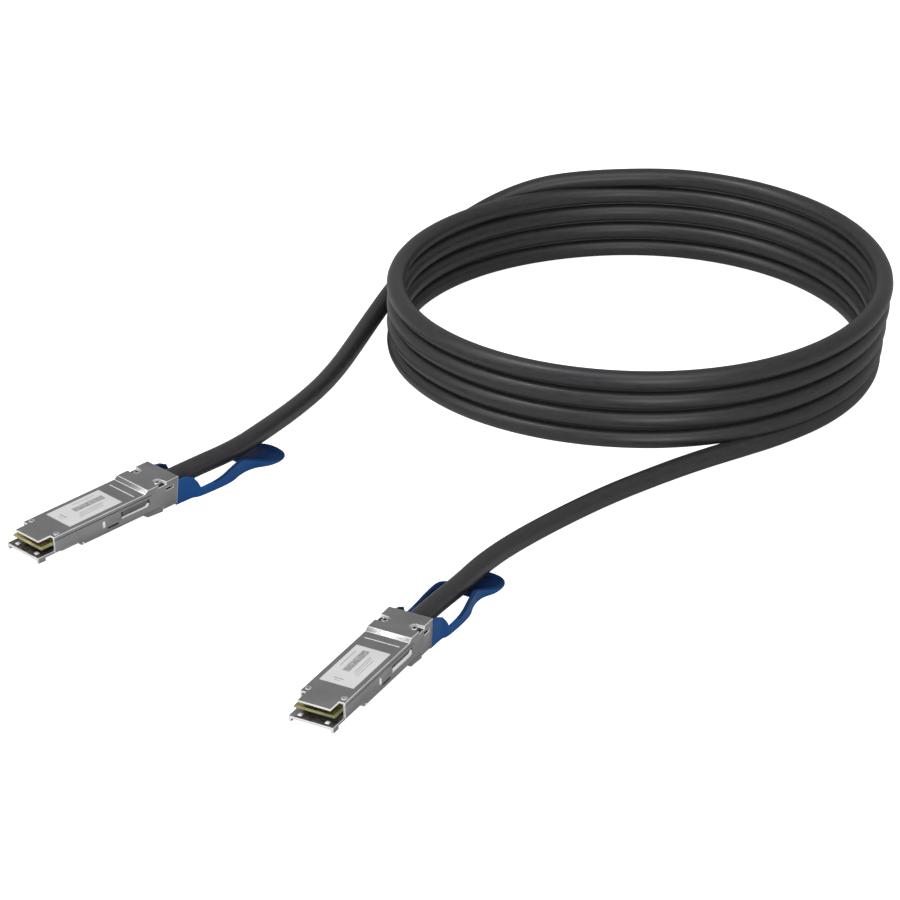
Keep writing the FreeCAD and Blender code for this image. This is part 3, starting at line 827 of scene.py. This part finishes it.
# The pull tab

# Its outer edge seen from above, from the shell to the middle of its end
TAB_EDGE = [
    (8.87, 70.55),
    (8.87, 77.0),
    (9.45, 78.4),
    (9.9, 80.4),
    (10.0, 84.0),
    (9.95, 89.0),
    (9.7, 93.5),
    (9.25, 97.0),
    (8.6, 100.0),
    (7.7, 103.2),
    (7.05, 106.3),
    (6.95, 109.0),
    (7.35, 111.9),
    (8.35, 114.8),
    (9.15, 117.4),
    (9.45, 120.2),
    (9.2, 122.8),
    (8.3, 125.2),
    (6.4, 127.4),
    (3.5, 128.8),
    (0.0, 129.2),
]
# The heights of its top edge and its bottom edge along the plug
TAB_TOP = [
    (70.5, 7.3),
    (72.0, 7.5),
    (74.6, 7.25),
    (76.3, 6.7),
    (77.8, 5.7),
    (79.0, 4.4),
    (80.0, 2.8),
    (81.0, 0.5),
    (82.2, 0.4),
    (88.5, 0.5),
    (92.5, 1.0),
    (96.5, 1.9),
    (99.9, 2.6),
    (101.5, 2.85),
    (103.5, 2.9),
    (105.4, 2.4),
    (108.0, 1.2),
    (110.0, 0.3),
    (112.5, -0.7),
    (115.0, -1.7),
    (118.0, -2.7),
    (121.0, -3.35),
    (124.0, -3.75),
    (127.0, -4.05),
    (129.0, -4.2),
]
TAB_BOTTOM = [(69.0, -2.4), (129.0, -5.1)]
# The end of the shell that the tab's front edge follows: its top, its height and how far it leans
HEAD_TOP = 9.8
HEAD_HEIGHT = 11.2
HEAD_LEAN = 1.5
# Where the dished end starts, along the plug, and how far its rim lies inside the tab's edge
BOWL_FRONT = 109.6
BOWL_RIM = 0.9


def tab_stations():
    """Points of the tab's outer edge from one side of the shell round to the other."""
    half = smooth_line(TAB_EDGE, 4)
    return half + [(-x, y) for x, y in reversed(half[:-1])]


def inward_at(edge, index):
    """The way from a point of an edge to its inside, square to the edge."""
    (x0, y0), (x1, y1) = edge[max(index - 1, 0)], edge[min(index + 1, len(edge) - 1)]
    along = Vector((x1 - x0, y1 - y0)).normalized()
    return Vector((-along.y, along.x))


def tab_sections(wall):
    """The section of the tab's wall at each point of its outer edge, with rounded corners."""
    edge = tab_stations()
    top = smooth_line(TAB_TOP, 5)
    sections = []
    for index, (x, y) in enumerate(edge):
        inward = inward_at(edge, index)
        high, low = height_at(top, y), height_at(TAB_BOTTOM, y)
        # the wall leans outwards round the waist
        lean = 0.45 * ease((y - 97) / 6) * ease((117 - y) / 6)
        corner = min(0.3, (high - low) / 3)
        section = []
        for inset, height, tilt in (
            (corner, high, lean),
            (0.0, high - corner, lean),
            (0.0, low + corner, -lean),
            (corner, low, -lean),
            (wall - corner, low, -lean),
            (wall, low + corner, -lean),
            (wall, high - corner, lean),
            (wall - corner, high, lean),
        ):
            place = Vector((x, y)) + inward * (inset - tilt)
            forward = HEAD_LEAN * (HEAD_TOP - height) / HEAD_HEIGHT * ease((75 - y) / 4.4)
            section.append(Vector((place.x, place.y - forward, height)) * MM)
        sections.append(section)
    return sections


def tab_bowl():
    """The dished end of the tab, drawn up to its ledge and down again to its floor."""
    edge = tab_stations()
    rim = [
        (Vector(edge[index]), inward_at(edge, index))
        for index in range(1, len(edge) - 1)
        if edge[index][1] > BOWL_FRONT - 1.0
    ]

    def outline(inset, level, fall, drop=0.0):
        """The rim's inside, set in by an amount, on a plane that falls towards the end."""
        points = []
        for place, inward in rim:
            point = place + inward * (BOWL_RIM + inset)
            y = max(point.y, BOWL_FRONT + inset)
            points.append(Vector((point.x, y, level - fall * (y - 110) - drop)) * MM)
        return points

    sections = [
        outline(0.0, -4.2, 0.0455),
        outline(0.0, -1.9, 0.155),
        outline(0.8, -1.9, 0.155),
        outline(1.05, -1.9, 0.155, 0.35),
        outline(1.75, -1.9, 0.155, 0.35),
        outline(2.15, -3.0, 0.1026),
    ]
    return loft("tab_bowl", sections)


def tab_plastic(name, colour):
    """Blue moulded plastic with a fine grain."""
    light = tuple(channel * 1.15 for channel in colour)
    return surface(
        name,
        (tuple(colour), light),
        (0.42, 0.52),
        patches=60.0,
        grain=2600.0,
        Specular_IOR_Level=0.15,
    )


class CABLE_OT_pull_tabs(bpy.types.Operator):
    """Makes the moulded pull tabs, drawn round from one side plate to the other"""

    bl_idname = "cable.pull_tabs"
    bl_label = "Pull Tabs"

    def execute(self, context):
        tab = context.scene.cable_tab
        walls = loft("tab_model", tab_sections(tab.wall / MM))
        model = join([walls, tab_bowl()], "tab_model")
        paint(
            model,
            tab_plastic("tab_plastic", tab.colour),
            tab_plastic("tab_painted_shade", linear("0b2a52")),
        )
        # upward faces of the tab's end and the plates' inner faces get a darker blue: painted
        # shade
        for face in model.data.polygons:
            inner = face.center.x * face.normal.x < 0 and abs(face.normal.x) > 0.5
            upper = face.normal.z > 0.6 and face.center.y > 88 * MM
            face.material_index = int(upper or inner and face.center.y < 100 * MM)
        smooth(model, 32)
        for tag in PLUGS:
            piece = copy_piece(model, f"moulded_tab_{tag}")
            settle(piece, tag, f"release_{tag}")
            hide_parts(f"pull_tab_{tag}")
        bpy.data.objects.remove(model)
        return {"FINISHED"}


# The labels

# What is printed on the label, as plain fields: (x from, x to, y from, y to) and its shade
PRINTED = [
    ((-3.0, -0.1, 26.8, 41.5), "block"),
    ((-5.35, -5.05, 29.0, 40.0), "line"),
    ((1.6, 1.95, 27.0, 38.5), "line"),
    ((2.6, 2.9, 26.0, 37.6), "line"),
    ((3.7, 4.05, 25.4, 37.0), "line"),
    ((-3.2, 0.9, 21.1, 21.6), "line"),
    ((-2.2, 0.2, 19.9, 20.2), "line"),
]
LABEL_TOP = 8.6 + 0.08
INK = 0.015


def printed_field(x0, x1, y0, y1):
    """A thin flat field on top of a label."""
    corners = [(x0, y0), (x1, y0), (x1, y1), (x0, y1)]
    field = trace("field", millimetres((x, y, LABEL_TOP) for x, y in corners))
    draw_out((0, 0, INK * MM))
    finish_shape()
    return field


class CABLE_OT_labels(bpy.types.Operator):
    """Puts plain printed fields on each label"""

    bl_idname = "cable.labels"
    bl_label = "Labels"

    def execute(self, context):
        shades = {
            "block": surface(
                "print_block", tones("6c6c6d", "b4b4b5"), (0.4, 0.5), patches=1500.0
            ),
            "line": surface("print_line", tones("8c8c8d", "a4a4a5"), (0.4, 0.5)),
        }
        for tag in PLUGS:
            fields = []
            for corners, shade in PRINTED:
                fields.append(printed_field(*corners))
                paint(fields[-1], shades[shade])
            piece = join(fields, f"printed_fields_{tag}")
            settle(piece, tag, "root")
        return {"FINISHED"}


# Finishes of the CAD pieces


def finishes():
    """The material of each CAD piece, by the piece's name."""
    steel = surface("steel", tones("9a9a9c", "b0b0b2"), (0.25, 0.35), metallic=1.0)
    screw = surface("screw", tones("6c6c70", "7c7c80"), (0.3, 0.4), metallic=1.0)
    gold = surface("gold", tones("d9b765", "e6c98a"), (0.2, 0.3), metallic=1.0)
    board = surface("board", tones("b4b07c", "555b2b"), (0.4, 0.5), patches=110.0)
    chip = surface("chip", tones("1c1c1d", "242425"), (0.45, 0.55))
    capacitor = surface("capacitor", tones("a38a66", "b39a76"), (0.3, 0.4))
    foil = surface("pair_foil", tones("b0b4bb", "c2c5ca"), (0.3, 0.4), metallic=0.6)
    comb = surface("comb", tones("d8d2c2", "e2ddd0"), (0.45, 0.55))
    gasket = surface("gasket", tones("2b2b2b", "353535"), (0.6, 0.7))
    label = surface("label", tones("c8c8c9", "d0d0d1"), (0.35, 0.42))
    cast = bpy.data.materials["cast_metal"]
    return {
        "upper_shell": cast,
        "lower_shell": cast,
        "paddle_card": board,
        "contact_fingers": gold,
        "memory_chip": chip,
        "coupling_capacitors": capacitor,
        "twinax_pairs": foil,
        "wire_comb": comb,
        "cable_end": bpy.data.materials["jacket"],
        "crimp_ring": steel,
        "cable_gasket": gasket,
        "front_rivets": steel,
        "head_screws": screw,
        "label": label,
        "release_slider": steel,
        "pull_tab": bpy.data.materials["tab_plastic"],
        "return_springs": steel,
    }


class CABLE_OT_finishes(bpy.types.Operator):
    """Gives the CAD pieces their finishes"""

    bl_idname = "cable.finishes"
    bl_label = "Finishes"

    def execute(self, context):
        for name, material in finishes().items():
            for tag in PLUGS:
                paint(NODES[f"{name}_{tag}"], material)
        return {"FINISHED"}


# The stage

# Each lamp's place and the point it faces, in metres, its width and its power
LAMPS = {
    "key": ((0.5, -0.35, 1.5), (0.05, 0.15, 0), 1.1, 8.3),
    "fill": ((-1.2, -0.9, 0.9), (0.0, 0.1, 0), 1.0, 5),
    "front": ((0.95, -1.05, 0.38), (0.05, 0.15, 0), 0.7, 8),
    "glint": ((-0.49, -0.3, 1.14), (0.08, -0.03, 0), 0.42, 5.5),
}
CAMERA_PLACE = Vector((711.29, -1107.28, 705.17)) * MM
# How far the camera looks down from level, and its turn about Z, in radians
CAMERA_DOWN = 0.462817
CAMERA_TURN = 0.515072


class CABLE_OT_stage(bpy.types.Operator):
    """Sets up the floor, the light and the camera"""

    bl_idname = "cable.stage"
    bl_label = "Stage"

    def execute(self, context):
        scene = context.scene
        stage = scene.cable_stage
        scene.view_settings.view_transform = "Standard"
        bpy.ops.object.select_all(action="DESELECT")
        bpy.ops.mesh.primitive_plane_add(size=8, location=(0, 0, 0))
        floor = context.object
        floor.name = "floor"
        floor.data.materials.append(self.floor_material(stage))
        self.world(scene)
        for name, setting in LAMPS.items():
            self.lamp(name, *setting)
        camera = bpy.data.objects.new("camera", bpy.data.cameras.new("camera"))
        context.collection.objects.link(camera)
        camera.data.lens = stage.lens
        camera.location = CAMERA_PLACE
        camera.rotation_euler = (math.pi / 2 - CAMERA_DOWN, 0, CAMERA_TURN)
        scene.camera = camera
        return {"FINISHED"}

    def floor_material(self, stage):
        """Plain pale floor that the camera sees as white."""
        material, shader = new_material("floor")
        shader.inputs["Base Color"].default_value = (*stage.floor_colour, 1)
        shader.inputs["Roughness"].default_value = 0.9
        shader.inputs["Specular IOR Level"].default_value = 0.0
        path = add_node(material, "ShaderNodeLightPath")
        glow = add_node(material, "ShaderNodeMath", {1: 1.0}, operation="MULTIPLY")
        link(material, path.outputs["Is Camera Ray"], glow.inputs[0])
        shader.inputs["Emission Color"].default_value = (1, 1, 1, 1)
        link(material, glow.outputs[0], shader.inputs["Emission Strength"])
        return material

    def world(self, scene):
        """Plain light from all round, white where it is seen."""
        world = bpy.data.worlds.new("studio")
        scene.world = world
        world.use_nodes = True
        nodes, links = world.node_tree.nodes, world.node_tree.links
        background = nodes["Background"]
        background.inputs["Color"].default_value = (1, 1, 1, 1)
        path = nodes.new("ShaderNodeLightPath")
        seen = nodes.new("ShaderNodeMath")
        seen.operation = "MAXIMUM"
        links.new(path.outputs["Is Camera Ray"], seen.inputs[0])
        links.new(path.outputs["Is Transmission Ray"], seen.inputs[1])
        strength = nodes.new("ShaderNodeMix")
        strength.inputs["A"].default_value = 0.4
        strength.inputs["B"].default_value = 1.0
        links.new(seen.outputs[0], strength.inputs["Factor"])
        links.new(strength.outputs["Result"], background.inputs["Strength"])

    def lamp(self, name, place, aim, size, power):
        """A large soft lamp that faces a point."""
        light = bpy.data.lights.new(name, "AREA")
        light.energy = power
        light.size = size
        lamp = bpy.data.objects.new(name, light)
        lamp.location = place
        direction = Vector(aim) - Vector(place)
        lamp.rotation_euler = direction.to_track_quat("-Z", "Y").to_euler()
        bpy.context.collection.objects.link(lamp)


class CABLE_PT_panel(bpy.types.Panel):
    """Lists the steps that build the cable"""

    bl_label = "Direct Attach Cable"
    bl_idname = "CABLE_PT_panel"
    bl_space_type = "VIEW_3D"
    bl_region_type = "UI"
    bl_category = "Cable"

    def draw(self, context):
        layout = self.layout
        for step in STEPS:
            layout.operator(step.bl_idname)
        scene = context.scene
        for group in (scene.cable_cord, scene.cable_plug, scene.cable_tab, scene.cable_stage):
            for name in group.__annotations__:
                layout.prop(group, name)


STEPS = (
    CABLE_OT_stage,
    CABLE_OT_cord,
    CABLE_OT_shells,
    CABLE_OT_fasteners,
    CABLE_OT_step_pins,
    CABLE_OT_sliders,
    CABLE_OT_pull_tabs,
    CABLE_OT_labels,
    CABLE_OT_finishes,
)
GROUPS = (CordProperties, PlugProperties, TabProperties, StageProperties)
CLASSES = (*GROUPS, *STEPS, CABLE_PT_panel)


def register():
    """Adds the add-on's classes and their properties."""
    for entry in CLASSES:
        bpy.utils.register_class(entry)
    bpy.types.Scene.cable_cord = bpy.props.PointerProperty(type=CordProperties)
    bpy.types.Scene.cable_plug = bpy.props.PointerProperty(type=PlugProperties)
    bpy.types.Scene.cable_tab = bpy.props.PointerProperty(type=TabProperties)
    bpy.types.Scene.cable_stage = bpy.props.PointerProperty(type=StageProperties)


def unregister():
    """Takes them away again."""
    del bpy.types.Scene.cable_stage
    del bpy.types.Scene.cable_tab
    del bpy.types.Scene.cable_plug
    del bpy.types.Scene.cable_cord
    for entry in reversed(CLASSES):
        bpy.utils.unregister_class(entry)


def main():
    """Builds the whole cable."""
    register()
    bpy.ops.cable.stage()
    bpy.ops.cable.cord()
    bpy.ops.cable.shells()
    bpy.ops.cable.fasteners()
    bpy.ops.cable.step_pins()
    bpy.ops.cable.sliders()
    bpy.ops.cable.pull_tabs()
    bpy.ops.cable.labels()
    bpy.ops.cable.finishes()


if __name__ == "__main__":
    main()
